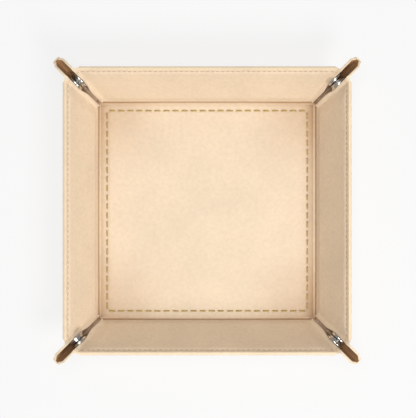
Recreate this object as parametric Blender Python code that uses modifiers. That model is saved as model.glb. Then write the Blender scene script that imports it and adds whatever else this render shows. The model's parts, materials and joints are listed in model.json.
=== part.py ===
"""A folding dice tray: a square sheet of two leather layers over thin boards.

Its walls stand up while the four corners are pinched into ears and held by press studs.
Metres, +Z up.  The origin is the middle of the underside.

Every piece is drawn where it lies in the sheet laid flat, and hangs on an empty that folds it
to its standing place.  One wall with its two ear halves is drawn for the east side (+X outward,
+Y along the crease) and repeated by quarter turns.
"""

from math import asin, cos, pi, radians, sin, sqrt, tan

import bmesh
import bpy
from mathutils import Matrix, Quaternion, Vector

MM = 0.001

# The sheet and how it folds
BASE = 132 * MM                  # crease to crease
WALL = 34 * MM                   # crease to rim, along the slope
CORNER_RADIUS = 18 * MM          # the flat sheet's round corners
WALL_ANGLE = radians(62)         # a standing wall, above the table
FOLD_RISE = radians(38)          # the bottom edge of a pinched ear, above the table
HALF_GAP = 1.5 * MM              # from an ear's inner face to the corner's mirror plane

# Layers
CLEAR = 0.3 * MM                 # between touching pieces
SKIN = 0.9 * MM                  # one leather layer
BOARD = 1.0 * MM
LINING_Z = SKIN + CLEAR          # underside of the lining where no board lies
HINGE_Z = LINING_Z + SKIN        # creases bend on the lining's upper face
RAISE = BOARD + CLEAR            # how far a board lifts the lining

# Margins round the boards: a flat strip, then a slope up to the padded field
BASE_MARGIN = 1.5 * MM
WALL_MARGIN = 3.0 * MM
SLOPE = 1.3 * MM
PANEL_ROUND = 2.5 * MM           # corners of the panels

# Where the ear leaves the wall.  Distances run along and across the wall-to-ear crease.
EAR_START = 6 * MM               # the ear begins this far from the base corner
EAR_OVERLAP = 5.6 * MM           # the ear reaches this far past the crease, behind the stud
EAR_TAPER = 15 * MM              # from here on it has that full reach
WALL_CUT = 6.5 * MM              # the wall stops this far before the crease at the base
WALL_CUT_RIM = 8.4 * MM          # and this far at the rim, where the tilted axis swings the ear wider

# Threads
THREAD = 0.25 * MM               # radius
BASE_STITCH_INSET = 4.4 * MM     # from the crease
RIM_STITCH_INSET = 2.2 * MM      # from the rim

# Press studs, in two halves, one on each layer of an ear
SNAP_ALONG = 22.6 * MM           # along the diagonal, from the base corner
SNAP_ACROSS = 7.6 * MM           # from the diagonal
SNAP_RADIUS = 5.6 * MM
SHANK = 1.0 * MM                 # radius of the rivet shank
SHANK_HOLE = SHANK + CLEAR
KNOB = 2.0 * MM                  # radius of the stud's knob
SOCKET_HOLE = 2.4 * MM
CAP_RISE = 1.1 * MM
SEGMENTS = 24

COLOURS = {
    "lining_leather": ((0.86, 0.70, 0.53, 1), 0.55, 0.0),
    "cover_leather": ((0.90, 0.77, 0.58, 1), 0.50, 0.0),
    "board": ((0.55, 0.48, 0.40, 1), 0.90, 0.0),
    "gold_thread": ((0.50, 0.34, 0.10, 1), 0.60, 0.0),
    "rim_thread": ((0.66, 0.52, 0.40, 1), 0.70, 0.0),
    "snap_metal": ((0.62, 0.61, 0.60, 1), 0.22, 1.0),
}
WALLS = ("east", "north", "west", "south")
CORNERS = ("ne", "nw", "sw", "se")   # the corner at each wall's counter-clockwise end


# ---------------------------------------------------------------- scene helpers

def clear_scene():
    for item in list(bpy.data.objects):
        bpy.data.objects.remove(item)


def make_collection(name):
    collection = bpy.data.collections.new(name)
    bpy.context.scene.collection.children.link(collection)
    return collection


def make_materials():
    made = {}
    for name, (colour, roughness, metallic) in COLOURS.items():
        material = bpy.data.materials.new(name)
        material.use_nodes = True
        shader = material.node_tree.nodes["Principled BSDF"]
        shader.inputs["Base Color"].default_value = colour
        shader.inputs["Roughness"].default_value = roughness
        shader.inputs["Metallic"].default_value = metallic
        material.diffuse_color = colour
        made[name] = material
    return made


class Pivot:
    """An empty on a joint's axis.  `flat` is its place in the flat sheet, in its quarter's frame."""

    def __init__(self, name, parent=None, flat=(0, 0, 0), turn=Quaternion()):
        self.flat = Vector(flat)
        self.empty = bpy.data.objects.new(name, None)
        TRAY.objects.link(self.empty)
        self.empty.rotation_mode = "QUATERNION"
        self.empty.rotation_quaternion = turn
        self.empty.location = self.flat - parent.flat if parent else self.flat
        if parent:
            self.empty.parent = parent.empty

    def hang(self, item, place=(0, 0, 0)):
        """Hang an object whose mesh is drawn round `place` in the flat sheet."""
        TRAY.objects.link(item)
        item.parent = self.empty
        item.location = Vector(place) - self.flat


def own_material(name, base):
    material = MATERIALS[base].copy()
    material.name = name
    return material


# ---------------------------------------------------------------- shapes

def arc(centre, radius, start, end, steps):
    """Points of an arc in the plane, both ends included; angles in radians."""
    turns = [start + (end - start) * i / steps for i in range(steps + 1)]
    return [(centre[0] + radius * cos(t), centre[1] + radius * sin(t)) for t in turns]


def rounded(corners, radius, steps=4):
    """A counter-clockwise convex outline with its corners rounded."""
    points = []
    for i, corner in enumerate(corners):
        here = Vector(corner)
        back = (Vector(corners[i - 1]) - here).normalized()
        ahead = (Vector(corners[(i + 1) % len(corners)]) - here).normalized()
        half = back.angle(ahead) / 2
        middle = here + (back + ahead).normalized() * (radius / sin(half))
        foot = here + back * (radius / tan(half)) - middle
        start = Vector((1, 0)).angle_signed(foot) * -1
        points += arc(middle, radius, start, start + pi - 2 * half, steps)
    return points


def plate(name, outline, low, high, material, hole=None):
    """A flat outline made `high - low` thick, with an optional round hole (centre, radius)."""
    curve = bpy.data.curves.new(name, "CURVE")
    curve.dimensions = "2D"
    curve.fill_mode = "BOTH"
    curve.extrude = (high - low) / 2
    loops = [outline]
    if hole:
        loops.append(arc(hole[0], hole[1], 0, 2 * pi * (SEGMENTS - 1) / SEGMENTS, SEGMENTS - 1))
    for loop in loops:
        spline = curve.splines.new("POLY")
        spline.points.add(len(loop) - 1)
        for point, (x, y) in zip(spline.points, loop):
            point.co = (x, y, 0, 1)
        spline.use_cyclic_u = True
    curve.materials.append(own_material(name, material))
    return bpy.data.objects.new(name, curve), (0, 0, (low + high) / 2)


def padded_sheet(name, edge, foot, field, material):
    """A leather sheet that lies flat from its edge to `foot` and steps up to `field` over its board.

    The three outlines have the same number of points.
    """
    bm = bmesh.new()
    rings = [[bm.verts.new((x, y, height)) for x, y in outline]
             for outline, height in ((edge, LINING_Z), (foot, LINING_Z), (field, LINING_Z + RAISE))]
    for outer, inner in zip(rings, rings[1:]):
        for i in range(len(outer)):
            bm.faces.new((outer[i - 1], outer[i], inner[i], inner[i - 1]))
    bm.faces.new(rings[-1])
    mesh = bpy.data.meshes.new(name)
    bm.to_mesh(mesh)
    bm.free()
    mesh.materials.append(own_material(name, material))
    sheet = bpy.data.objects.new(name, mesh)
    solid = sheet.modifiers.new("thickness", "SOLIDIFY")
    solid.thickness = SKIN
    solid.offset = 1
    return sheet, (0, 0, 0)


def thread(name, path, height, closed, material):
    """A sewn thread as one round line."""
    curve = bpy.data.curves.new(name, "CURVE")
    curve.dimensions = "3D"
    curve.bevel_depth = THREAD
    curve.bevel_resolution = 1
    curve.use_fill_caps = True
    spline = curve.splines.new("POLY")
    spline.points.add(len(path) - 1)
    for point, (x, y) in zip(spline.points, path):
        point.co = (x, y, height, 1)
    spline.use_cyclic_u = closed
    curve.materials.append(own_material(name, material))
    return bpy.data.objects.new(name, curve), (0, 0, 0)


def turned(name, profile, closed=False):
    """A turned metal piece.  The profile runs down the outer side, in (radius, height)."""
    bm = bmesh.new()
    points = [bm.verts.new((radius, 0, height)) for radius, height in profile]
    last = len(points) if closed else len(points) - 1
    for i in range(last):
        bm.edges.new((points[i], points[(i + 1) % len(points)]))
    mesh = bpy.data.meshes.new(name)
    bm.to_mesh(mesh)
    bm.free()
    mesh.materials.append(own_material(name, "snap_metal"))
    piece = bpy.data.objects.new(name, mesh)
    screw = piece.modifiers.new("turn", "SCREW")
    screw.steps = SEGMENTS
    screw.render_steps = SEGMENTS
    screw.use_merge_vertices = True
    screw.merge_threshold = 0.00001
    screw.use_smooth_shade = True
    return piece


# ---------------------------------------------------------------- folding

def ear_turn():
    """How an ear half turns from its wall's plane to the mirror plane.

    Returns the rotation and a point of its axis, from the base corner at hinge height.
    """
    up = Vector((0, 0, 1))
    diagonal = Vector((1, 1, 0)).normalized()
    inward = Vector((-1, 1, 0)).normalized()       # the standing ear's inner normal
    fold = diagonal * cos(FOLD_RISE) + up * sin(FOLD_RISE)
    flat = Matrix((diagonal, up, diagonal.cross(up))).transposed()
    standing = Matrix((fold, inward, fold.cross(inward))).transposed()
    wall = Matrix.Rotation(-WALL_ANGLE, 3, "Y")
    turn = wall.transposed() @ standing @ flat.transposed()
    axis, angle = turn.to_quaternion().to_axis_angle()
    world_axis = wall @ axis
    along = world_axis - inward * world_axis.dot(inward)
    shift = -inward * HALF_GAP + along * (HALF_GAP * world_axis.dot(inward) / along.length_squared)
    shift = wall.transposed() @ shift
    centre = (shift + axis.cross(shift) / tan(angle / 2)) / 2
    return turn, centre


def mirrored(matrix):
    flip = Matrix.Scale(-1, 3, (0, 1, 0))
    return flip @ matrix @ flip


def crease_direction():
    """The wall-to-ear crease in the flat sheet, away from the base corner."""
    turn, _ = ear_turn()
    axis, _ = turn.to_quaternion().to_axis_angle()
    line = Vector((axis.x, axis.y))
    return line.normalized() * (1 if line.x > 0 else -1)


# ---------------------------------------------------------------- outlines, in the flat sheet

CORNER = Vector((0, BASE / 2))       # the base corner, in a quarter's frame whose x starts at the crease


def beside_crease(along, across):
    """A point `along` the wall-to-ear crease and `across` it; across is positive on the wall side."""
    line = crease_direction()
    start = CORNER + ear_turn()[1].xy
    return start + line * along + Vector((line.y, -line.x)) * across


def beside_fold(along, across):
    """A point `along` the sheet's diagonal and `across` it, towards the wall."""
    step = 1 / sqrt(2)
    return CORNER + Vector((step, step)) * along + Vector((step, -step)) * across


def line_crossing(across, out):
    """Where the line beside the crease is `out` from the base crease."""
    start, line = beside_crease(0, across), crease_direction()
    return start + line * ((out - start.x) / line.x)


def wall_outline(crease_gap, rim_gap, end_gap):
    low = line_crossing(WALL_CUT + end_gap, crease_gap)
    high = line_crossing(WALL_CUT_RIM + end_gap, WALL - rim_gap)
    return [(low.x, -low.y), (high.x, -high.y), (high.x, high.y), (low.x, low.y)]


def ear_outline():
    """The half ear, from its start near the base corner round to the fold, counter-clockwise."""
    middle = CORNER + Vector((WALL - CORNER_RADIUS,) * 2)
    end = pi / 4 - asin(HALF_GAP / CORNER_RADIUS)
    return [
        beside_fold(EAR_START, HALF_GAP),
        beside_crease(EAR_START, CLEAR),
        beside_crease(EAR_TAPER, EAR_OVERLAP),
        line_crossing(EAR_OVERLAP, WALL),
        *arc(middle, CORNER_RADIUS, 0, end, 6),
    ]


def fold_outline():
    """Half of the strip that wraps round the ear's folded edge."""
    tip = WALL * sqrt(2) - CORNER_RADIUS * (sqrt(2) - 1) - CLEAR
    outer, inner = HALF_GAP - CLEAR, CLEAR / 2
    return [beside_fold(EAR_START, outer), beside_fold(tip, outer),
            beside_fold(tip, inner), beside_fold(EAR_START, inner)]


def flipped(outline):
    return [(x, -y) for x, y in reversed([tuple(point) for point in outline])]


# ---------------------------------------------------------------- the parts

def base_outline(gap):
    """The base panel's outline, `gap` inside the creases."""
    half = BASE / 2 - gap
    return rounded([(-half, -half), (half, -half), (half, half), (-half, half)], PANEL_ROUND)


def make_base(root):
    edge = base_outline(CLEAR)
    foot = base_outline(BASE_MARGIN)
    field = base_outline(BASE_MARGIN + SLOPE)
    line = BASE / 2 - BASE_STITCH_INSET
    sewn = [(-line, -line), (line, -line), (line, line), (-line, line)]
    top = HINGE_Z + RAISE
    root.hang(*plate("base_cover", edge, 0, SKIN, "cover_leather"))
    root.hang(*plate("base_board", field, LINING_Z, LINING_Z + BOARD, "board"))
    root.hang(*padded_sheet("base_lining", edge, foot, field, "lining_leather"))
    root.hang(*thread("base_stitching", sewn, top + CLEAR + THREAD, True, "gold_thread"))


def make_wall(name, pivot):
    inset = WALL_MARGIN + SLOPE
    edge = rounded(wall_outline(CLEAR, 0, 0), PANEL_ROUND)
    foot = rounded(wall_outline(WALL_MARGIN, WALL_MARGIN, WALL_MARGIN), PANEL_ROUND)
    field = rounded(wall_outline(inset, inset, inset), PANEL_ROUND)
    end = line_crossing(WALL_CUT_RIM, WALL).y - WALL_MARGIN
    rim = WALL - RIM_STITCH_INSET
    pivot.hang(*plate(f"wall_{name}_cover", edge, 0, SKIN, "cover_leather"))
    pivot.hang(*plate(f"wall_{name}_board", field, LINING_Z, LINING_Z + BOARD, "board"))
    pivot.hang(*padded_sheet(f"wall_{name}_lining", edge, foot, field, "lining_leather"))
    pivot.hang(*thread(f"wall_{name}_stitching", [(rim, -end), (rim, end)],
                       HINGE_Z + CLEAR + THREAD, False, "rim_thread"))


def snap_place(side):
    place = beside_fold(SNAP_ALONG, SNAP_ACROSS)
    return place.x, side * place.y


def make_ear(name, side, pivot):
    outline = [tuple(point) for point in ear_outline()][::-1]
    if side < 0:
        outline = flipped(outline)
    hole = (snap_place(side), SHANK_HOLE)
    pivot.hang(*plate(f"ear_{name}_cover", outline, 0, SKIN, "cover_leather", hole))
    pivot.hang(*plate(f"ear_{name}_lining", outline, LINING_Z, HINGE_Z, "lining_leather", hole))


def make_fold(name, side, pivot):
    outline = [tuple(point) for point in fold_outline()]
    if side < 0:
        outline = flipped(outline)
    pivot.hang(*plate(f"fold_{name}", outline, 0, HINGE_Z, "cover_leather"))


def cap_profile(shank_top):
    """A domed cap under the cover with a rivet shank; heights from the cover's outer face."""
    rim = SNAP_RADIUS
    return [
        (0, shank_top), (SHANK, shank_top), (SHANK, -CLEAR), (rim - 0.4 * MM, -CLEAR),
        (rim, -CLEAR - 0.3 * MM), (rim - 0.5 * MM, -CLEAR - 0.7 * MM),
        (rim * 0.6, -CLEAR - CAP_RISE * 0.92), (0, -CLEAR - CAP_RISE),
    ]


def socket_profile():
    """A flanged ring that takes the knob; heights from the lining's inner face."""
    rim = SNAP_RADIUS
    return [
        (rim - 0.9 * MM, 1.7 * MM), (rim - 0.5 * MM, 1.3 * MM), (rim - 0.4 * MM, 0.7 * MM),
        (rim, 0.6 * MM), (rim, CLEAR), (SHANK_HOLE, CLEAR), (SHANK_HOLE, 0.7 * MM),
        (SOCKET_HOLE, 0.8 * MM), (SOCKET_HOLE, 1.4 * MM), (SOCKET_HOLE + 0.3 * MM, 1.7 * MM),
    ]


def stud_profile():
    """A flanged knob with a rivet hole in its back; heights from the lining's inner face."""
    rim = SNAP_RADIUS - 0.5 * MM
    return [
        (0, 2.0 * MM), (KNOB - 0.4 * MM, 2.0 * MM), (KNOB, 1.6 * MM), (KNOB - 0.2 * MM, 1.0 * MM),
        (rim - 0.3 * MM, 0.8 * MM), (rim, 0.6 * MM), (rim, CLEAR),
        (SHANK_HOLE, CLEAR), (SHANK_HOLE, 1.3 * MM), (0, 1.3 * MM),
    ]


def make_snap_half(corner, side, pivot):
    """The counter-clockwise ear half takes the socket and its cap, the other the stud and its post."""
    x, y = snap_place(side)
    if side > 0:
        pivot.hang(turned(f"snap_{corner}_cap", cap_profile(HINGE_Z + 0.6 * MM)), (x, y, 0))
        pivot.hang(turned(f"snap_{corner}_socket", socket_profile(), closed=True), (x, y, HINGE_Z))
    else:
        pivot.hang(turned(f"snap_{corner}_post", cap_profile(HINGE_Z + 1.0 * MM)), (x, y, 0))
        pivot.hang(turned(f"snap_{corner}_stud", stud_profile()), (x, y, HINGE_Z))


def make_quarter(index, root):
    """One wall with both its ear halves, turned to its side of the base."""
    wall = WALLS[index]
    quarter = Pivot(f"quarter_{wall}", root, turn=Quaternion((0, 0, 1), index * pi / 2))
    quarter.flat = Vector((-BASE / 2, 0, 0))       # the walls are drawn with x from their crease
    hinge = Pivot(f"hinge_{wall}", quarter, (0, 0, HINGE_Z), Quaternion((0, 1, 0), -WALL_ANGLE))
    make_wall(wall, hinge)
    turn, centre = ear_turn()
    base_corner = Vector((CORNER.x, CORNER.y, HINGE_Z))
    for side in (1, -1):
        corner = CORNERS[index if side > 0 else index - 1]
        name = f"{corner}_{wall}"
        flip = Vector((1, side, 1))
        bend = turn if side > 0 else mirrored(turn)
        ear = Pivot(f"hinge_ear_{name}", hinge, (base_corner + centre) * flip, bend.to_quaternion())
        make_ear(name, side, ear)
        make_snap_half(corner, side, ear)
        start = beside_fold(EAR_START, HALF_GAP)
        diagonal = Vector((1, side, 0)).normalized()
        strip = Pivot(f"hinge_fold_{name}", ear, Vector((start.x, start.y, HINGE_Z)) * flip,
                      Quaternion(diagonal, side * pi / 2))
        make_fold(name, side, strip)


clear_scene()
TRAY = make_collection("folding_dice_tray")
MATERIALS = make_materials()
tray = Pivot("tray")
make_base(tray)
for quarter_index in range(4):
    make_quarter(quarter_index, tray)
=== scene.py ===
"""Folding dice tray: the visual model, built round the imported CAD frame.

Leather pieces are drawn where they lie in the sheet laid flat. One wall is drawn for the east side,
with a corner at its north end, and repeated by mirror and turns.
"""

import json
from math import asin, cos, pi, radians, sin, sqrt

import bpy
import numpy as np
from mathutils import Matrix, Vector

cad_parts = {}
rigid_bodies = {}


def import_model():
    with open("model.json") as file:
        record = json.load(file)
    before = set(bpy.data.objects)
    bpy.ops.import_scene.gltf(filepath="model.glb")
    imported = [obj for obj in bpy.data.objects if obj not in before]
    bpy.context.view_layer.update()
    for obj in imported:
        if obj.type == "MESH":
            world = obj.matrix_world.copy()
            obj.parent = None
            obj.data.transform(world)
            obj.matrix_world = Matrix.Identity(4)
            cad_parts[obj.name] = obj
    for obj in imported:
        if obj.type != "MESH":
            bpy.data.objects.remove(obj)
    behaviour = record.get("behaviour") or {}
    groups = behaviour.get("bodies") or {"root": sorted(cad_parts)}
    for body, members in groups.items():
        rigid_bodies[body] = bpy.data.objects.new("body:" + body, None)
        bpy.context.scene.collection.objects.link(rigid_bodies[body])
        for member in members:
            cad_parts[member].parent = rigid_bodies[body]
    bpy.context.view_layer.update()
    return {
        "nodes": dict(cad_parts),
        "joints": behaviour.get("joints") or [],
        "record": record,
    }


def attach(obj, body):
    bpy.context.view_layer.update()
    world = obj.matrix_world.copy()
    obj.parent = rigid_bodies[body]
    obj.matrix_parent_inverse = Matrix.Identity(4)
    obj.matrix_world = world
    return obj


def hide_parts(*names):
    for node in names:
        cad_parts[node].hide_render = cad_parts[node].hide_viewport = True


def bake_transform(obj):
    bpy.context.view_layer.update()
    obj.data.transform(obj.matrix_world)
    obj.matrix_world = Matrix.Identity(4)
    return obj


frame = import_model()
MM = 0.001
JOINTS = {joint["name"]: joint for joint in frame["joints"]}
RATIOS = {c["joint"]: c["ratio"] for c in frame["record"]["behaviour"]["couplings"]}
WALLS = ("east", "north", "west", "south")
CORNERS = ("ne", "nw", "sw", "se")      # the corner at each wall's counter-clockwise end


# ---------------------------------------------------------------- the opened tray, from the joints

def turn_matrix(point, axis, angle):
    """A rotation about a line, as a 4x4 array."""
    centre = Matrix.Translation(Vector(point))
    return np.array(centre @ Matrix.Rotation(angle, 4, Vector(axis)) @ centre.inverted())


def opened_bodies():
    """Each body's matrix when the tray is opened flat."""
    travel = radians(JOINTS["wall_east_fold"]["range_deg"][1])
    matrices = {"base": np.eye(4)}
    for joint in frame["joints"]:
        angle = travel * RATIOS.get(joint["name"], 1.0)
        turn = turn_matrix(joint["pos_m"], joint["axis"], angle)
        matrices[joint["child"]] = matrices[joint["parent"]] @ turn
    return matrices


OPEN = opened_bodies()


def apply(matrix, points):
    return points @ matrix[:3, :3].T + matrix[:3, 3]


def stand_rigid(points, body):
    """Where points of the flat sheet are in the standing tray, on a piece that rides on one body."""
    return apply(np.linalg.inv(OPEN[body]), points)


def stand_bent(points, joint, start, end):
    first, second = OPEN[JOINTS[joint]["parent"]], OPEN[JOINTS[joint]["child"]]
    angle = np.arccos((np.trace((np.linalg.inv(first) @ second)[:3, :3]) - 1) / 2)
    axis = np.array(JOINTS[joint]["axis"], float)
    axis /= np.linalg.norm(axis)
    pivot = np.array(JOINTS[joint]["pos_m"], float)
    arm = apply(np.linalg.inv(first), points) - pivot
    along = np.outer(arm @ axis, axis)
    across = np.cross(axis, arm)
    ramp = (end - start) / np.sum((end - start) ** 2)
    low, high = np.zeros(len(points)), np.ones(len(points))
    for _ in range(36):
        share = (low + high) / 2
        c, s = np.cos(share * angle)[:, None], np.sin(share * angle)[:, None]
        placed = pivot + along + (arm - along) * c - across * s
        t = np.clip((placed - start) @ ramp, 0, 1)
        more = t * t * (3 - 2 * t) > share
        low, high = np.where(more, share, low), np.where(more, high, share)
    return placed


# ---------------------------------------------------------------- dimensions

CREASE = JOINTS["wall_east_fold"]["pos_m"][0]      # half the base, crease to crease
HINGE_Z = JOINTS["wall_east_fold"]["pos_m"][2]     # the lining's upper face, where the creases bend


def flat_nodes(body, name):
    """A CAD node's points in the flat sheet."""
    mesh = frame["nodes"][name].data
    return apply(OPEN[body], np.array([vertex.co for vertex in mesh.vertices], float))


SHEET = flat_nodes("wall_east", "wall_east_cover")[:, 0].max()      # half the flat sheet
WALL = SHEET - CREASE
CORNER_RADIUS = 18 * MM
socket = flat_nodes("ear_ne_east", "snap_ne_socket")
SNAP_SHIFT = 1.2 * MM            # how much further out the visible studs stand, clear of the corner bend
SNAP = ((socket.min(0) + socket.max(0)) / 2)[:2]   # the press stud's centre in the flat sheet
SNAP = SNAP + SNAP_SHIFT / sqrt(2)

# Layers and their edges
MIDDLE = 1.10 * MM               # where cover and lining meet
SKIN = 0.95 * MM                 # the lining
RAISE = 0.50 * MM                # how far a board lifts the lining
WRAP = 1.25 * MM                 # how far the turned edge comes over the rim
EAR_PRESS = 0.40                 # how much thinner an ear is than a wall's edge
EAR_CLOSE = 0.6 * MM             # how far its halves close up near the base corner
TIP_SHIFT = 1.6 * MM             # how far they close up along the folded edge, which rounds the tip
TIP_START, TIP_WIDTH = 2.0 * MM, 4.0 * MM          # where that fades, from the sheet's diagonal
PRESS_START, PRESS_WIDTH = 11 * MM, 9 * MM         # along the ear, where it turns thin
BASE_BOARD = CREASE - 2.8 * MM
WALL_BOARD = 4.3 * MM            # the wall board's inset from the crease and the rim
SHOULDER = 2.1 * MM
STRIP_IN, STRIP_OUT = 1.5 * MM, 2.0 * MM           # the bending strip either side of a base crease
FOLD_ZONE = 3.2 * MM             # the strip beside the diagonal that wraps the ear's folded edge

# The corner crease: how the bend spreads over the leather between wall and ear
CREASE_TILT = radians(5)
BISECT = 0.45                    # radians: 0 spreads it along the wall, 0.45 half way to the ear
BEND_START, BEND_END = -2.3 * MM, -1.0 * MM        # from the ear's hinge, in the standing tray
CREASE_BEND_IN, CREASE_BEND_OUT = 1.25 * MM, 0.8 * MM       # the bend either side of a base crease
FOLD_BEND_IN, FOLD_BEND_OUT = 1.8 * MM, 1.2 * MM            # the bend either side of a fold's hinge

GUSSET, GUSSET_IN = 3.0 * MM, 0.6 * MM             # its half-width, and its centre inside the corner

BASE_STITCH = CREASE - 5.2 * MM
STITCH_PITCH = 5.5 * MM
STITCH_LENGTH = 4.1 * MM
GOLD_RADIUS, GOLD_SAG = 0.38 * MM, 0.45 * MM       # the thread, and how far its ends dive in
BEIGE_RADIUS, BEIGE_SAG = 0.17 * MM, 0.2 * MM
BASE_DIP, BASE_DIP_WIDTH = 0.42 * MM, 0.75 * MM    # how stitches pull the leather down
RIM_DIP, RIM_DIP_WIDTH = 0.16 * MM, 0.45 * MM
RIM_STITCH = 2.7 * MM
RIM_PITCH = 3.0 * MM
RIM_LENGTH = 2.1 * MM

ear_joint = JOINTS["ear_ne_east_fold"]
EAR_PIVOT = np.array(ear_joint["pos_m"], float)
flat_axis = OPEN["wall_east"][:3, :3] @ np.array(ear_joint["axis"], float)
flat_axis *= np.sign(flat_axis[0]) / np.linalg.norm(flat_axis)
LINE = flat_axis[:2] / np.linalg.norm(flat_axis[:2])                # the corner crease, outwards
RISE = flat_axis[2] / np.linalg.norm(flat_axis[:2])
ACROSS = np.array([-LINE[1], LINE[0]])                              # across it, towards the ear
flat_pivot = apply(OPEN["wall_east"], EAR_PIVOT[None])[0]


def wall_to_rest(direction):
    return np.linalg.inv(OPEN["wall_east"])[:3, :3] @ direction


def corner_bend():
    """Start and end of the bend from the wall to the ear, in the standing tray."""
    inward = np.array([0, 0, 1.0])
    across = np.append(ACROSS, 0) * cos(BISECT) - inward * sin(BISECT)
    along = np.append(LINE, 0)
    way = wall_to_rest(across * cos(CREASE_TILT) + along * sin(CREASE_TILT))
    return EAR_PIVOT + way * BEND_START, EAR_PIVOT + way * BEND_END


def seam_point(out):
    """Where the wall's rigid leather ends, `out` from the base crease: no depth of it bends yet."""
    def beside(along):
        depth = flat_pivot[2] + along * RISE
        reach = BEND_START - along * sin(CREASE_TILT) - depth * sin(BISECT) * cos(CREASE_TILT)
        across = reach / (cos(BISECT) * cos(CREASE_TILT)) - 0.3 * MM
        return flat_pivot[:2] + LINE * along + ACROSS * across
    near, far = beside(0), beside(30 * MM)
    slope = (far - near) / (far[0] - near[0])
    return near + slope * (CREASE + out - near[0])


SEAM_NEAR, SEAM_FAR = seam_point(STRIP_OUT), seam_point(WALL)


def seam_y(x):
    return SEAM_NEAR[1] + (SEAM_FAR - SEAM_NEAR)[1] * (x - SEAM_NEAR[0]) / (SEAM_FAR - SEAM_NEAR)[0]


# ---------------------------------------------------------------- heights of the lining in the sheet

def smooth(t):
    t = np.clip(t, 0, 1)
    return t * t * (3 - 2 * t)


def raised(outside):
    """How far a board lifts the lining, from the distance outside the board's edge."""
    return RAISE * (1 - smooth((outside + 0.2 * MM) / SHOULDER))


def rounded_max(a, b, size=0.9 * MM):
    """The larger of two distances, with the ridge between them rounded."""
    blend = np.clip(size - np.abs(a - b), 0, None) / size
    return np.maximum(a, b) + blend * blend * size * 0.25


def wall_board_outside(x, y):
    """Distance outside the wall's board."""
    end = seam_y(x) - 4.5 * MM
    ends = (np.abs(y) - end) * 0.30
    sides = np.abs(x - (CREASE + WALL / 2)) - (WALL / 2 - WALL_BOARD)
    return rounded_max(ends, sides)


def lining_height(x, y):
    base = rounded_max(np.abs(x), np.abs(y)) - BASE_BOARD
    wall = wall_board_outside(x, y)
    return HINGE_Z + raised(base) + np.where(x > CREASE, raised(wall), 0)


def rim_distance(x, y):
    """Distance inside the sheet's edge, past the east crease."""
    middle = SHEET - CORNER_RADIUS
    over_x, over_y = np.clip(x - middle, 0, None), np.clip(y - middle, 0, None)
    return CORNER_RADIUS - np.hypot(over_x, over_y)


def stitches_dip(x, y, centres, ways, length, depth, width):
    """How far sewn stitches pull the leather down."""
    dip = np.zeros_like(x)
    for (cx, cy), (wx, wy) in zip(centres, ways):
        near = (np.abs(x - cx) < 5 * MM) & (np.abs(y - cy) < 5 * MM)
        dx, dy = x[near] - cx, y[near] - cy
        along, across = dx * wx + dy * wy, -dx * wy + dy * wx
        ends = np.exp(-(((np.abs(along) - length / 2) / (width * 1.1)) ** 2))
        groove = 0.5 * (np.abs(along) < length / 2)
        dip[near] = np.maximum(dip[near], depth * np.exp(-((across / width) ** 2)) * (ends + groove))
    return dip


# ---------------------------------------------------------------- meshes

def corner_place(x, y):
    """Distances across the corner crease and from the sheet's diagonal, in any quarter."""
    big, small = np.maximum(np.abs(x), np.abs(y)), np.minimum(np.abs(x), np.abs(y))
    across = (big - flat_pivot[0]) * ACROSS[0] + (small - flat_pivot[1]) * ACROSS[1]
    return across, (big - small) / sqrt(2), (big + small - 2 * CREASE) / sqrt(2)


def pressed(points):
    """The ear is pressed thin, and rounds off towards its folded edge."""
    across, diagonal, along = corner_place(points[:, 0], points[:, 1])
    ear = smooth((across + 4.0 * MM) / (3.5 * MM))
    thin = ear * smooth((along - PRESS_START) / PRESS_WIDTH)
    near = ear - thin
    shift = TIP_SHIFT * (1 - smooth((diagonal - TIP_START) / TIP_WIDTH))
    made = points.copy()
    made[:, 2] += thin * (points[:, 2] * -EAR_PRESS + shift)
    made[:, 2] += near * EAR_CLOSE * smooth(diagonal / (1.6 * MM))
    return made


def closed_sheet(xy, top, bottom):
    """Points and faces of a closed sheet over a grid of flat points."""
    rows, columns = top.shape
    upper = np.dstack((xy, top)).reshape(-1, 3)
    lower = np.dstack((xy, bottom)).reshape(-1, 3)
    index = np.arange(rows * columns).reshape(rows, columns)
    a, b, c, d = index[:-1, :-1], index[1:, :-1], index[1:, 1:], index[:-1, 1:]
    faces = [np.stack((a, b, c, d), -1).reshape(-1, 4)]
    shift = rows * columns
    faces.append(np.stack((d, c, b, a), -1).reshape(-1, 4) + shift)
    ring = np.concatenate((index[:-1, 0], index[-1, :-1], index[:0:-1, -1], index[0, :0:-1]))
    after = np.roll(ring, -1)
    faces.append(np.stack((after, ring, ring + shift, after + shift), -1))
    return np.vstack((upper, lower)), np.vstack(faces)


def make_mesh(name, points, faces, sheet, material, mirror=False, burnish=None):
    """A mesh object, with its points' places in the flat sheet kept for the leather's pattern."""
    if mirror:
        faces = faces[:, ::-1]
    mesh = bpy.data.meshes.new(name)
    mesh.from_pydata(points.tolist(), [], faces.tolist())
    mesh.polygons.foreach_set("use_smooth", np.ones(len(mesh.polygons), bool))
    attribute = mesh.attributes.new("sheet", "FLOAT_VECTOR", "POINT")
    attribute.data.foreach_set("vector", sheet.astype(np.float32).ravel())
    # Painted shade, kept as a value for each point.
    if burnish is not None:
        attribute = mesh.attributes.new("burnish", "FLOAT", "POINT")
        attribute.data.foreach_set("value", burnish.astype(np.float32))
    mesh.materials.append(material)
    mesh.set_sharp_from_angle(angle=radians(50))
    obj = bpy.data.objects.new(name, mesh)
    bpy.context.scene.collection.objects.link(obj)
    return obj


class Side:
    """One of the eight half-sides: the east side's prototype, mirrored if need be and turned."""

    def __init__(self, index, side=1):
        self.wall = WALLS[index]
        self.corner = CORNERS[index if side > 0 else index - 1]
        self.half = f"{self.corner}_{self.wall}"
        self.mirror = side < 0
        turn = np.array(Matrix.Rotation(index * pi / 2, 3, "Z"))
        self.matrix = turn @ np.diag([1, side, 1])

    def place(self, points):
        return np.asarray(points) @ self.matrix.T


def blend_between(obj, start, end):
    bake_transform(obj)


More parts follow.
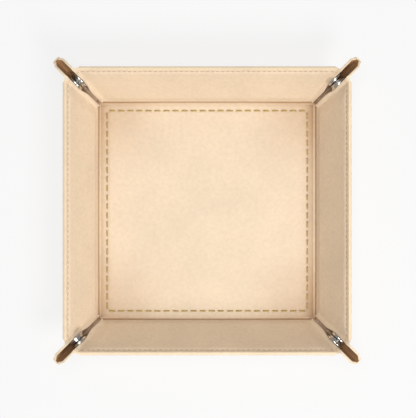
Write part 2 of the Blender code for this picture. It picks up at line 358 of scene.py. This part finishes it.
HALVES = [Side(index, side) for index in range(4) for side in (1, -1)]
SIDES = [Side(index) for index in range(4)]


# ---------------------------------------------------------------- grids of flat points

def spaced(low, high, step):
    return np.linspace(low, high, max(2, int(round((high - low) / step)) + 1))


LINING_ROWS = np.array([1.15, 1.3, 1.55, 1.85, 2.1, 2.35, 2.6, 2.85, 3.1, 3.4, 3.8]) * MM
COVER_ROWS = np.array([0, 0.06, 0.16, 0.3, 0.5, 0.75, 0.95, 1.12, 1.25, 1.5, 3.8]) * MM
BAND = 3.8 * MM


def wall_grid(rim_rows, step_x, step_y):
    """The wall's rigid leather, from the bending strip to the rim."""
    inner = spaced(CREASE + STRIP_OUT, SHEET - BAND, step_x)[:-1]
    xs = np.concatenate((inner, SHEET - rim_rows[::-1]))
    count = int(round(2 * SEAM_FAR[1] / step_y)) | 1
    share = np.linspace(-1, 1, count)
    return np.stack([np.stack((np.full(count, x), share * seam_y(x)), -1) for x in xs])


def strip_grid(step_y):
    """The leather that bends at the base crease, mitred at its inner corners."""
    xs = np.concatenate((spaced(CREASE - STRIP_IN, CREASE, 0.25 * MM)[:-1],
                         spaced(CREASE, CREASE + STRIP_OUT, 0.25 * MM)))
    count = int(round(2 * CREASE / step_y)) | 1
    share = np.linspace(-1, 1, count)
    return np.stack([np.stack((np.full(count, x), share * min(x, CREASE)), -1) for x in xs])


def diagonal_gap(offset, x):
    """The y, at x, of the line `offset` beside the diagonal."""
    return x - offset * sqrt(2)


def rim_row(depth, offset, columns):
    """Flat points along the line `depth` inside the rim, from the seam to `offset` beside the diagonal."""
    middle = SHEET - CORNER_RADIUS
    radius = CORNER_RADIUS - depth
    start = seam_y(SHEET - depth)
    end = pi / 4 - asin(offset / radius)
    straight = middle - start
    share = np.linspace(0, 1, columns) * (straight + radius * end)
    turn = np.clip((share - straight) / radius, 0, None)
    y = np.where(share < straight, start + share, middle + radius * np.sin(turn))
    x = np.where(share < straight, SHEET - depth, middle + radius * np.cos(turn))
    return np.stack((x, y), -1)


def corner_grid(rim_rows, step, columns):
    """The leather from the seam over the corner crease to the ear's folded edge."""
    inner_x = CREASE + STRIP_OUT
    ends = np.array([seam_y(inner_x), diagonal_gap(FOLD_ZONE, inner_x)])
    inner = np.stack((np.full(columns, inner_x), np.linspace(ends[0], ends[1], columns)), -1)
    outer = rim_row(BAND, FOLD_ZONE, columns)
    shares = spaced(0, 1, step / (WALL - BAND))[:-1]
    rows = [inner + (outer - inner) * share for share in shares]
    rows += [rim_row(depth, FOLD_ZONE, columns) for depth in rim_rows[::-1]]
    return np.stack(rows)


def fold_grid(rim_rows, step):
    """The leather beside the diagonal, as rows across it."""
    offsets = np.array([3.2, 2.9, 2.6, 2.3, 2.05, 1.8, 1.55, 1.35, 1.2, 0.8, 0.4, 0.02]) * MM
    inner_x = CREASE + STRIP_OUT
    lines = []
    for offset in offsets:
        inner = np.array([inner_x, diagonal_gap(offset, inner_x)])
        outer = rim_row(BAND, offset, 2)[-1]
        shares = spaced(0, 1, step / (WALL - BAND))[:-1]
        line = [inner + (outer - inner) * share for share in shares]
        line += [rim_row(depth, offset, 2)[-1] for depth in rim_rows[::-1]]
        lines.append(np.array(line))
    return np.stack(lines, 1)


# ---------------------------------------------------------------- stitches in the sheet

def stitch_line(start, end, pitch):
    """Centres and directions of stitches from start to end, centred on the line."""
    start, end = np.array(start), np.array(end)
    length = np.linalg.norm(end - start)
    count = int(length // pitch)
    way = (end - start) / length
    first = (length - (count - 1) * pitch) / 2
    return [(start + way * (first + i * pitch), way) for i in range(count)]


def base_stitches():
    corners = [(-1, -1), (1, -1), (1, 1), (-1, 1)]
    points = [np.array(corner) * BASE_STITCH for corner in corners]
    return [stitch for i in range(4) for stitch in stitch_line(points[i], points[(i + 1) % 4], STITCH_PITCH)]


def wall_stitches():
    out = SHEET - RIM_STITCH
    reach = seam_y(out)
    return stitch_line((out, -reach), (out, reach), RIM_PITCH)


def corner_stitches():
    """The rim's stitches from the seam round to the ear's tip."""
    row = rim_row(RIM_STITCH, FOLD_ZONE, 400)
    steps = np.linalg.norm(np.diff(row, axis=0), axis=1)
    length = np.concatenate(([0], np.cumsum(steps)))
    count = int(length[-1] // RIM_PITCH)
    made = []
    for i in range(count):
        here = (i + 0.5) * RIM_PITCH
        place = np.array([np.interp(here, length, row[:, k]) for k in (0, 1)])
        ahead = np.array([np.interp(here + 0.2 * MM, length, row[:, k]) for k in (0, 1)])
        made.append((place, (ahead - place) / np.linalg.norm(ahead - place)))
    return made


def thread_stitch(centre, way, length, height, radius, sag):
    """One stitch: a round thread that dives into the leather at both ends."""
    rings, sides = 9, 8
    t = np.linspace(-1, 1, rings)
    lift = height - sag * np.abs(t) ** 4
    size = radius * np.sqrt(np.clip(1 - np.abs(t) ** 6, 0.05, 1))
    around = np.linspace(0, 2 * pi, sides, endpoint=False)
    normal = np.array([-way[1], way[0]])
    points = []
    for k in range(rings):
        flat = centre + way * (t[k] * length / 2)
        for angle in around:
            x, y = flat + normal * (cos(angle) * size[k] * 1.15)
            points.append((x, y, lift[k] + sin(angle) * size[k]))
    faces = [[k * sides + j, k * sides + (j + 1) % sides, (k + 1) * sides + (j + 1) % sides,
              (k + 1) * sides + j] for k in range(rings - 1) for j in range(sides)]
    return np.array(points), np.array(faces)


def sewn(stitches, length, heights, radius, sag):
    """All the stitches of a line as one set of points and faces."""
    points, faces, count = [], [], 0
    for (centre, way), height in zip(stitches, heights):
        made, quads = thread_stitch(centre, way, length, height, radius, sag)
        points.append(made)
        faces.append(quads + count)
        count += len(made)
    return np.vstack(points), np.vstack(faces)


# ---------------------------------------------------------------- materials

def new_material(name):
    material = bpy.data.materials.new(name)
    material.use_nodes = True
    tree = material.node_tree
    return material, tree, tree.nodes["Principled BSDF"]


def node(tree, kind, **settings):
    made = tree.nodes.new(kind)
    for key, value in settings.items():
        if key in made.inputs:
            made.inputs[key].default_value = value
        else:
            setattr(made, key, value)
    return made


def sheet_coordinates(tree):
    return node(tree, "ShaderNodeAttribute", attribute_name="sheet").outputs["Vector"]


def noise_of(tree, vector, scale, detail=3.0, roughness=0.5):
    made = node(tree, "ShaderNodeTexNoise", Scale=scale, Detail=detail, Roughness=roughness)
    tree.links.new(vector, made.inputs["Vector"])
    return made.outputs["Fac"]


def ramp_of(tree, value, stops):
    made = node(tree, "ShaderNodeValToRGB")
    ramp = made.color_ramp
    while len(ramp.elements) < len(stops):
        ramp.elements.new(0.5)
    for element, (place, colour) in zip(ramp.elements, stops):
        element.position = place
        element.color = (*colour, 1)
    tree.links.new(value, made.inputs["Fac"])
    return made.outputs["Color"]


def math_of(tree, operation, first, second):
    made = node(tree, "ShaderNodeMath", operation=operation)
    for socket, value in zip(made.inputs, (first, second)):
        if isinstance(value, (int, float)):
            socket.default_value = value
        else:
            tree.links.new(value, socket)
    return made.outputs["Value"]


def multiply_colour(tree, first, second, share):
    made = node(tree, "ShaderNodeMix", data_type="RGBA", blend_type="MULTIPLY")
    made.inputs[0].default_value = share
    tree.links.new(first, made.inputs[6])
    tree.links.new(second, made.inputs[7])
    return made.outputs[2]


def bump_of(tree, height, strength, distance):
    made = node(tree, "ShaderNodeBump", Strength=strength, Distance=distance)
    tree.links.new(height, made.inputs["Height"])
    return made.outputs["Normal"]


def shaded(colour, factor):
    return tuple(channel * factor for channel in colour)


def leather(name, colour, roughness, grain):
    """Fine-grained leather: pebbles, pores and soft clouds of tone, laid out on the flat sheet, and painted
    shade from each point's shade value.
    """
    material, tree, shader = new_material(name)
    place = sheet_coordinates(tree)
    clouds = noise_of(tree, place, 38, 4, 0.55)
    mottle = noise_of(tree, place, 420, 3, 0.6)
    tone = ramp_of(tree, clouds, [(0.30, shaded(colour, 0.955)), (0.70, shaded(colour, 1.03))])
    spots = ramp_of(tree, mottle, [(0.32, (0.93, 0.915, 0.89)), (0.62, (1.0, 1.0, 1.0))])
    # Painted shade: each point's shade value tints the colour towards a dark brown, in the creases, at the
    # base's borders and corners and inside the ears.
    shade_amount = node(tree, "ShaderNodeAttribute", attribute_name="burnish").outputs["Fac"]
    shade_tint = ramp_of(tree, shade_amount, [(0.0, (1.0, 1.0, 1.0)), (1.0, PAINTED_SHADE_BROWN)])
    toned = multiply_colour(tree, tone, spots, 0.85)
    tree.links.new(multiply_colour(tree, toned, shade_tint, 1.0), shader.inputs["Base Color"])
    pebble = node(tree, "ShaderNodeTexVoronoi", feature="SMOOTH_F1", Scale=1150.0, Smoothness=0.55)
    tree.links.new(place, pebble.inputs["Vector"])
    fine = noise_of(tree, place, 2600, 2, 0.5)
    height = math_of(tree, "ADD", math_of(tree, "MULTIPLY", pebble.outputs["Distance"], -1.0),
                     math_of(tree, "MULTIPLY", fine, 0.35))
    height = math_of(tree, "ADD", height, math_of(tree, "MULTIPLY", mottle, 0.8))
    tree.links.new(bump_of(tree, height, grain, 0.00012), shader.inputs["Normal"])
    polish = ramp_of(tree, mottle, [(0.3, (roughness * 0.92,) * 3), (0.7, (roughness * 1.08,) * 3)])
    tree.links.new(polish, shader.inputs["Roughness"])
    shader.inputs["Sheen Weight"].default_value = 0.12
    shader.inputs["Sheen Roughness"].default_value = 0.5
    shader.inputs["Specular IOR Level"].default_value = 0.38
    return material


def twisted_thread(name, colour, roughness, sheen):
    """Plied thread: slanting strands, with painted shade, a little darker tone, in the grooves between them.
    """
    material, tree, shader = new_material(name)
    place = sheet_coordinates(tree)
    strands = node(tree, "ShaderNodeTexWave", Scale=620.0, Distortion=0.6, bands_direction="DIAGONAL")
    tree.links.new(place, strands.inputs["Vector"])
    # Painted shade: the colour darkens where the strands' bump is low, in the grooves between them.
    tone = ramp_of(tree, strands.outputs["Fac"], [(0.0, shaded(colour, 0.62)), (0.65, shaded(colour, 1.1))])
    drift = ramp_of(tree, noise_of(tree, place, 260, 2), [(0.3, (0.84, 0.84, 0.82)), (0.7, (1, 1, 1))])
    tree.links.new(multiply_colour(tree, tone, drift, 0.8), shader.inputs["Base Color"])
    tree.links.new(bump_of(tree, strands.outputs["Fac"], 0.6, 0.00010), shader.inputs["Normal"])
    shader.inputs["Roughness"].default_value = roughness
    shader.inputs["Sheen Weight"].default_value = sheen
    return material


def plated_metal(name, colour, roughness):
    """Nickel-plated brass with faint brushing and fingerprints."""
    material, tree, shader = new_material(name)
    place = node(tree, "ShaderNodeTexCoord").outputs["Object"]
    smear = noise_of(tree, place, 420, 4, 0.6)
    scratch = noise_of(tree, place, 5200, 2, 0.5)
    tone = ramp_of(tree, smear, [(0.3, shaded(colour, 0.90)), (0.7, colour)])
    tree.links.new(tone, shader.inputs["Base Color"])
    polish = ramp_of(tree, smear, [(0.3, (roughness * 0.75,) * 3), (0.7, (roughness * 1.35,) * 3)])
    tree.links.new(polish, shader.inputs["Roughness"])
    tree.links.new(bump_of(tree, scratch, 0.12, 0.00003), shader.inputs["Normal"])
    shader.inputs["Metallic"].default_value = 1.0
    return material


# Painted shade: the dark brown that shaded leather is tinted towards.
PAINTED_SHADE_BROWN = (0.41, 0.25, 0.12)
LINING_COLOUR = (0.828, 0.668, 0.492)
COVER_COLOUR = (0.870, 0.705, 0.500)
lining_leather = leather("lining_leather", LINING_COLOUR, 0.62, 0.55)
cover_leather = leather("cover_leather", COVER_COLOUR, 0.56, 0.45)
gold_thread = twisted_thread("gold_thread", (0.50, 0.345, 0.075), 0.45, 0.2)
rim_thread = twisted_thread("rim_thread", (0.60, 0.44, 0.29), 0.65, 0.3)
snap_metal = plated_metal("snap_metal", (0.62, 0.61, 0.59), 0.16)


# ---------------------------------------------------------------- leather pieces

def edge_profile(depth):
    """Top and bottom of the cover where it turns over the rim, from the distance inside the rim."""
    depths = np.array([0, 0.06, 0.16, 0.3, 0.5, 0.75, 0.95, 1.12, 1.25]) * MM
    tops = np.array([1.50, 1.80, 2.01, 2.14, 2.21, 2.22, 2.17, 2.00, 1.10]) * MM
    lows = np.array([0.62, 0.36, 0.17, 0.06, 0.0, 0.0, 0.0, 0.0, 0.0]) * MM
    return np.interp(depth, depths, tops), np.interp(depth, depths, lows)


def softness(x, y):
    """The slight unevenness of glued and padded leather."""
    long = np.sin(x * 61 + 1.3 * np.sin(y * 47)) * np.cos(y * 53 + 0.7 + np.sin(x * 38))
    short = np.sin(x * 171 + y * 96 + 2.0) * np.sin(y * 149 - x * 61 + 0.5)
    return (0.09 * long + 0.05 * short) * MM


def lining_solid(grid, depths, dip):
    """The lining over a grid: it follows the boards and tucks under the turned edge at the rim."""
    x, y = grid[..., 0], grid[..., 1]
    top = lining_height(x, y)
    lifted = np.clip((top - HINGE_Z) / RAISE, 0, 1)
    top = top + softness(x, y) * lifted - dip
    if depths is not None:
        top = top - 0.28 * MM * (1 - smooth((depths - WRAP + 0.1 * MM) / (0.5 * MM)))
    return top, top - SKIN


def cover_solid(grid, depths):
    shape = grid.shape[:2]
    if depths is None:
        return np.full(shape, MIDDLE - 0.02 * MM), np.zeros(shape)
    return edge_profile(depths)


def rim_depths(grid):
    return np.clip(rim_distance(grid[..., 0], grid[..., 1]), 0, None)


CREASE_SHADE, CREASE_SHADE_WIDTH = 0.80, 0.55 * MM   # painted shade: the brown line in each crease
BORDER_SHADE, BORDER_WIDTH = 0.05, 4.5 * MM         # painted shade: the softer tone beside it
PANEL_SHADE = 0.30                                  # painted shade at the base's corners
EAR_SHADE, EAR_SHADE_MORE = 0.55, 0.40               # painted shade inside the ear: near the base corner, and added at the ear's tip
END_SHADE = 0.6                                     # painted shade on the cut ends of an ear at the base corner
WEST_SHADE, EAST_SHADE, SIDE_WIDTH = 0.32, 0.50, 5.5 * MM     # painted shade beside the base's west and east creases, where the walls shade the base


def painted_shade_of(flat, upper):
    """Painted shade: how far the leather is tinted brown, in the creases, beside them, at the base's corners
    and between the ears.
    """
    x, y = np.abs(flat[:, 0]), np.abs(flat[:, 1])
    crease = np.minimum(np.abs(x - CREASE) + 9 * np.clip(y - CREASE, 0, None),
                        np.abs(y - CREASE) + 9 * np.clip(x - CREASE, 0, None))
    line = CREASE_SHADE * np.exp(-(crease / CREASE_SHADE_WIDTH) ** 2)
    border = BORDER_SHADE * np.exp(-(crease / BORDER_WIDTH) ** 2)
    across, _, along = corner_place(x, y)
    depth = EAR_SHADE + EAR_SHADE_MORE * smooth((along - 10 * MM) / (10 * MM))
    ear = depth * smooth((across + 2.6 * MM) / (2.4 * MM))
    outside = (x > CREASE) & (y > CREASE * 0.8) | (y > CREASE) & (x > CREASE * 0.8)
    ear = np.where(outside, ear, 0)
    edge = smooth((rim_distance(x, y) - 0.35 * MM) / (0.4 * MM))
    panel = PANEL_SHADE * smooth((x / CREASE - 0.25) / 0.65) * smooth((y / CREASE - 0.25) / 0.65)
    panel = np.where(np.maximum(x, y) < CREASE, panel, 0)
    tone = np.clip(np.maximum(line, ear * edge) + border + panel, 0, 1)
    inner_end = outside & (along < 4 * MM) & (across > -1 * MM)
    return np.where(upper, tone, np.where(inner_end, END_SHADE, 0))


def side_shade(flat, upper):
    """Painted shade: the base is a little browner beside its west and east creases, more on the east."""
    reach = np.exp(-((CREASE - np.abs(flat[:, 0])) / SIDE_WIDTH) ** 2)
    return np.where(upper, reach * np.where(flat[:, 0] > 0, EAST_SHADE, WEST_SHADE), 0)


def make_piece(name, half, points, faces, flat, material):
    # Painted shade for each point of the piece.
    shade_amount = painted_shade_of(flat, np.arange(len(flat)) < len(flat) // 2)
    piece = make_mesh(name, half.place(points), faces, half.place(flat), material, half.mirror, shade_amount)
    return piece


def points_of(stitches):
    return [tuple(centre) for centre, _ in stitches], [tuple(way) for _, way in stitches]


def make_base():
    edge = CREASE - STRIP_IN
    line = spaced(-edge, edge, 0.62 * MM)
    grid = np.stack(np.meshgrid(line, line, indexing="ij"), -1)
    x, y = grid[..., 0], grid[..., 1]
    stitches = base_stitches()
    centres, ways = points_of(stitches)
    dip = stitches_dip(x, y, centres, ways, STITCH_LENGTH, BASE_DIP, BASE_DIP_WIDTH)
    top, low = lining_solid(grid, None, dip)
    flat, faces = closed_sheet(grid, top, low)
    upper = np.arange(len(flat)) < len(flat) // 2
    # Painted shade in the base's creases, borders and corners, and beside its west and east creases.
    shade_amount = painted_shade_of(flat, upper) + side_shade(flat, upper)
    lining = make_mesh("base_lining_leather", flat, faces, flat, lining_leather, burnish=shade_amount)
    coarse = grid[::6, ::6]
    flat, faces = closed_sheet(coarse, *cover_solid(coarse, None))
    cover = make_mesh("base_cover_leather", flat, faces, flat, cover_leather)
    heights = [lining_height(np.array([c[0]]), np.array([c[1]]))[0] + 0.10 * MM for c, _ in stitches]
    flat, faces = sewn(stitches, STITCH_LENGTH, heights, GOLD_RADIUS, GOLD_SAG)
    gold = make_mesh("base_gold_stitches", flat, faces, flat, gold_thread)
    for piece, name, slot in ((lining, "base_lining", "lining_leather"),
                              (cover, "base_cover", "cover_leather"),
                              (gold, "base_stitching", "gold_thread")):
        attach(piece, "base")
        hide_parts(name)
    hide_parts("base_board")


def make_strips():
    """The leather that bends at the four base creases."""
    grid = strip_grid(1.0 * MM)
    joint = "wall_east_fold"
    hinge = np.array(JOINTS[joint]["pos_m"], float)
    start = hinge - np.array([CREASE_BEND_IN, 0, 0])
    end = hinge + np.array([CREASE_BEND_OUT, 0, 0])
    solids = (("lining", lining_solid(grid, None, 0), lining_leather),
              ("cover", cover_solid(grid, None), cover_leather))
    for layer, (top, low), material in solids:
        flat, faces = closed_sheet(grid, top, low)
        rest = stand_bent(flat, joint, start, end)
        for side in SIDES:
            name = f"crease_{side.wall}_{layer}"
            piece = make_piece(name, side, rest, faces, flat, material)
            blend_between(piece, side.place(start), side.place(end))


def make_gussets():
    """A small leather disc under each base corner, where the creases and the ear's halves meet."""
    size, middle = GUSSET, CREASE - GUSSET_IN
    share = np.linspace(-1, 1, 25)
    u, v = np.meshgrid(share, share, indexing="ij")
    x = middle + size * u * np.sqrt(1 - v * v / 2)
    y = middle + size * v * np.sqrt(1 - u * u / 2)
    grid = np.stack((x, y), -1)
    away = np.hypot(x - middle, y - middle) / size
    top = 1.0 * MM - 0.35 * MM * away ** 4 + 0.04 * MM * np.sin(x * 4100) * np.cos(y * 3700)
    flat, faces = closed_sheet(grid, top, np.full_like(x, 0.02 * MM))
    for side in SIDES:
        piece = make_piece(f"gusset_{side.corner}", side, flat, faces, flat, cover_leather)
        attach(piece, "base")


def make_walls():
    lining_grid = wall_grid(LINING_ROWS, 0.9 * MM, 0.8 * MM)
    cover_grid = wall_grid(COVER_ROWS, 3 * MM, 3 * MM)
    stitches = wall_stitches()
    centres, ways = points_of(stitches)
    x, y = lining_grid[..., 0], lining_grid[..., 1]
    dip = stitches_dip(x, y, centres, ways, RIM_LENGTH, RIM_DIP, RIM_DIP_WIDTH)
    lining = lining_solid(lining_grid, rim_depths(lining_grid), dip)
    cover = cover_solid(cover_grid, rim_depths(cover_grid))
    solids = (("lining", lining_grid, lining, lining_leather),
              ("cover", cover_grid, cover, cover_leather))
    for layer, grid, (top, low), material in solids:
        flat, faces = closed_sheet(grid, top, low)
        rest = stand_rigid(flat, "wall_east")
        for side in SIDES:
            name = f"wall_{side.wall}_{layer}"
            piece = make_piece(name + "_leather", side, rest, faces, flat, material)
            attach(piece, f"wall_{side.wall}")
            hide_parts(name)
            if layer == "lining":
                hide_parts(f"wall_{side.wall}_board")
    heights = [HINGE_Z + 0.03 * MM] * len(stitches)
    flat, faces = sewn(stitches, RIM_LENGTH, heights, BEIGE_RADIUS, BEIGE_SAG)
    rest = stand_rigid(flat, "wall_east")
    for side in SIDES:
        name = f"wall_{side.wall}_stitching"
        piece = make_piece(f"rim_{side.wall}_stitches", side, rest, faces, flat, rim_thread)
        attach(piece, f"wall_{side.wall}")
        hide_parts(name)


def make_corners():
    """The leather between each wall and its ear half, with the ear half itself."""
    start, end = corner_bend()
    lining_grid = corner_grid(LINING_ROWS, 0.9 * MM, 44)
    cover_grid = corner_grid(COVER_ROWS, 1.2 * MM, 36)
    stitches = corner_stitches()
    centres, ways = points_of(stitches)
    x, y = lining_grid[..., 0], lining_grid[..., 1]
    dip = stitches_dip(x, y, centres, ways, RIM_LENGTH, RIM_DIP, RIM_DIP_WIDTH)
    lining = lining_solid(lining_grid, rim_depths(lining_grid), dip)
    cover = cover_solid(cover_grid, rim_depths(cover_grid))
    solids = (("lining", lining_grid, lining, lining_leather),
              ("cover", cover_grid, cover, cover_leather))
    pieces = []
    for layer, grid, (top, low), material in solids:
        flat, faces = closed_sheet(grid, top, low)
        pieces.append((layer, pressed(flat), faces, material, f"{layer}_leather"))
    heights = [HINGE_Z + 0.03 * MM] * len(stitches)
    flat, faces = sewn(stitches, RIM_LENGTH, heights, BEIGE_RADIUS, BEIGE_SAG)
    pieces.append(("stitches", pressed(flat), faces, rim_thread, "rim_thread"))
    for layer, flat, faces, material, slot in pieces:
        rest = stand_bent(flat, "ear_ne_east_fold", start, end)
        for half in HALVES:
            piece = make_piece(f"corner_{half.half}_{layer}", half, rest, faces, flat, material)
            blend_between(piece, half.place(start), half.place(end))
            if layer != "stitches":
                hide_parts(f"ear_{half.half}_{layer}")


def make_folds():
    """The leather that wraps the folded edge of each ear."""
    joint = "strip_ne_east_fold"
    pivot = np.array(JOINTS[joint]["pos_m"], float)
    way = np.linalg.inv(OPEN["ear_ne_east"])[:3, :3] @ (np.array([-1, 1, 0]) / sqrt(2))
    start, end = pivot - way * FOLD_BEND_IN, pivot + way * FOLD_BEND_OUT
    layers = (("lining", LINING_ROWS, lining_leather), ("cover", COVER_ROWS, cover_leather))
    for layer, rows, material in layers:
        grid = fold_grid(rows, 1.2 * MM)
        depths = rim_depths(grid)
        solid = lining_solid(grid, depths, 0) if layer == "lining" else cover_solid(grid, depths)
        flat, faces = closed_sheet(grid, *solid)
        flat = pressed(flat)
        rest = stand_bent(flat, joint, start, end)
        for half in HALVES:
            name = f"fold_{half.half}_{layer}"
            piece = make_piece(name, half, rest, faces, flat, material)
            blend_between(piece, half.place(start), half.place(end))
            if layer == "cover":
                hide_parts(f"fold_{half.half}")


# ---------------------------------------------------------------- press studs

def softened(profile, rounds=2):
    """A turned profile with its corners cut back, ends kept."""
    points = np.array(profile, float)
    for _ in range(rounds):
        near = points[:-1] * 0.75 + points[1:] * 0.25
        far = points[:-1] * 0.25 + points[1:] * 0.75
        middle = np.stack((near, far), 1).reshape(-1, 2)
        points = np.vstack((points[:1], middle[1:-1], points[-1:]))
    return points


def turned(profile, segments=56):
    """Points and faces of a turned piece on the press stud's axis; the profile runs down its outside."""
    profile = softened(np.array(profile) * MM)
    angles = np.linspace(0, 2 * pi, segments, endpoint=False)
    radius, height = profile[:, 0], profile[:, 1]
    x = SNAP[0] + np.outer(radius, np.cos(angles))
    y = SNAP[1] + np.outer(radius, np.sin(angles))
    z = np.repeat(height, segments).reshape(len(profile), segments)
    index = np.arange(x.size).reshape(x.shape)
    right = np.roll(index, -1, axis=1)
    faces = np.stack((index[1:], right[1:], right[:-1], index[:-1]), -1).reshape(-1, 4)
    return np.dstack((x, y, z)).reshape(-1, 3), faces


# Turned profiles as (radius, height) in millimetres; heights run up from the flat sheet's underside.
# The cap serves both halves of a stud, on the outside of each layer of an ear.
TOP = HINGE_Z / MM
CAP = [(0.01, -0.85), (0.9, -0.82), (1.5, -0.70), (1.9, -0.50), (2.15, -0.32), (2.2, -0.18), (2.1, -0.04),
       (0.9, -0.04), (0.9, TOP + 0.5), (0.01, TOP + 0.55)]
SOCKET = [(1.3, TOP - 0.75), (5.2, TOP - 0.75), (5.58, TOP - 0.5), (5.5, TOP + 0.4), (4.95, TOP + 0.55),
          (4.8, TOP + 0.8), (4.72, TOP + 1.3), (4.5, TOP + 1.62), (4.1, TOP + 1.68), (3.7, TOP + 1.45),
          (3.2, TOP + 1.35), (2.85, TOP + 1.55), (2.5, TOP + 1.45), (2.35, TOP + 1.1), (2.35, TOP + 0.7),
          (1.3, TOP + 0.65), (1.3, TOP - 0.75)]
STUD = [(4.7, TOP - 0.75), (5.1, TOP - 0.5), (4.95, TOP + 0.62), (4.4, TOP + 0.72), (3.6, TOP + 0.6),
        (2.6, TOP + 0.66), (1.95, TOP + 0.9), (1.75, TOP + 1.2), (2.0, TOP + 1.55), (1.9, TOP + 1.85),
        (1.3, TOP + 1.98), (0.01, TOP + 2.0)]


def make_studs():
    parts = {1: (("cap", CAP), ("socket", SOCKET)), -1: (("post", CAP), ("stud", STUD))}
    for half in HALVES:
        for name, profile in parts[-1 if half.mirror else 1]:
            flat, faces = turned(profile)
            rest = stand_rigid(flat, "ear_ne_east")
            title = f"press_{half.corner}_{name}"
            piece = make_piece(title, half, rest, faces, flat, snap_metal)
            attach(piece, f"ear_{half.half}")
            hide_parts(f"snap_{half.corner}_{name}")


make_base()
make_strips()
make_gussets()
make_walls()
make_corners()
make_folds()
make_studs()


# ---------------------------------------------------------------- camera, light and floor

CAMERA_HEIGHT = 0.602
CAMERA_PLACE = (0.46 * MM, 1.06 * MM, CAMERA_HEIGHT)
FLOOR_GLOW = 0.755
FLOOR_DARK, FLOOR_LIGHT = (0.165, 0.165, 0.165), (0.175, 0.175, 0.175)


def make_camera():
    data = bpy.data.cameras.new("camera")
    data.lens = 85
    data.sensor_width = 36
    data.clip_start = 0.01
    camera = bpy.data.objects.new("camera", data)
    camera.location = CAMERA_PLACE
    bpy.context.scene.collection.objects.link(camera)
    bpy.context.scene.camera = camera


def make_light(name, place, size, power, colour):
    data = bpy.data.lights.new(name, "AREA")
    data.shape = "DISK"
    data.size = size
    data.energy = power
    data.color = colour
    light = bpy.data.objects.new(name, data)
    light.location = place
    light.rotation_euler = (-Vector(place)).to_track_quat("-Z", "Y").to_euler()
    bpy.context.scene.collection.objects.link(light)


def make_world(colour, strength):
    world = bpy.data.worlds.new("studio")
    bpy.context.scene.world = world
    world.use_nodes = True
    background = world.node_tree.nodes["Background"]
    background.inputs["Color"].default_value = (*colour, 1)
    background.inputs["Strength"].default_value = strength


def make_floor():
    material, tree, shader = new_material("floor")
    place = node(tree, "ShaderNodeTexCoord").outputs["Object"]
    tone = ramp_of(tree, noise_of(tree, place, 6, 2), [(0.0, FLOOR_DARK), (1.0, FLOOR_LIGHT)])
    tree.links.new(tone, shader.inputs["Base Color"])
    shader.inputs["Roughness"].default_value = 0.9
    shader.inputs["Specular IOR Level"].default_value = 0.1
    shader.inputs["Emission Color"].default_value = (1, 1, 1, 1)
    shader.inputs["Emission Strength"].default_value = FLOOR_GLOW
    mesh = bpy.data.meshes.new("floor")
    half, low = 12.0, -0.00002
    mesh.from_pydata([(-half, -half, low), (half, -half, low), (half, half, low), (-half, half, low)],
                     [], [(0, 1, 2, 3)])
    mesh.materials.append(material)
    floor = bpy.data.objects.new("floor", mesh)
    bpy.context.scene.collection.objects.link(floor)


make_camera()
make_light("key", (0.50, -0.72, 0.98), 0.55, 9.3, (1.0, 0.985, 0.965))
make_light("top", (-0.05, 0.10, 1.3), 0.70, 6.6, (1.0, 1.0, 1.0))
make_world((1.0, 1.0, 1.0), 0.36)
make_floor()
bpy.context.scene.view_settings.view_transform = "Standard"
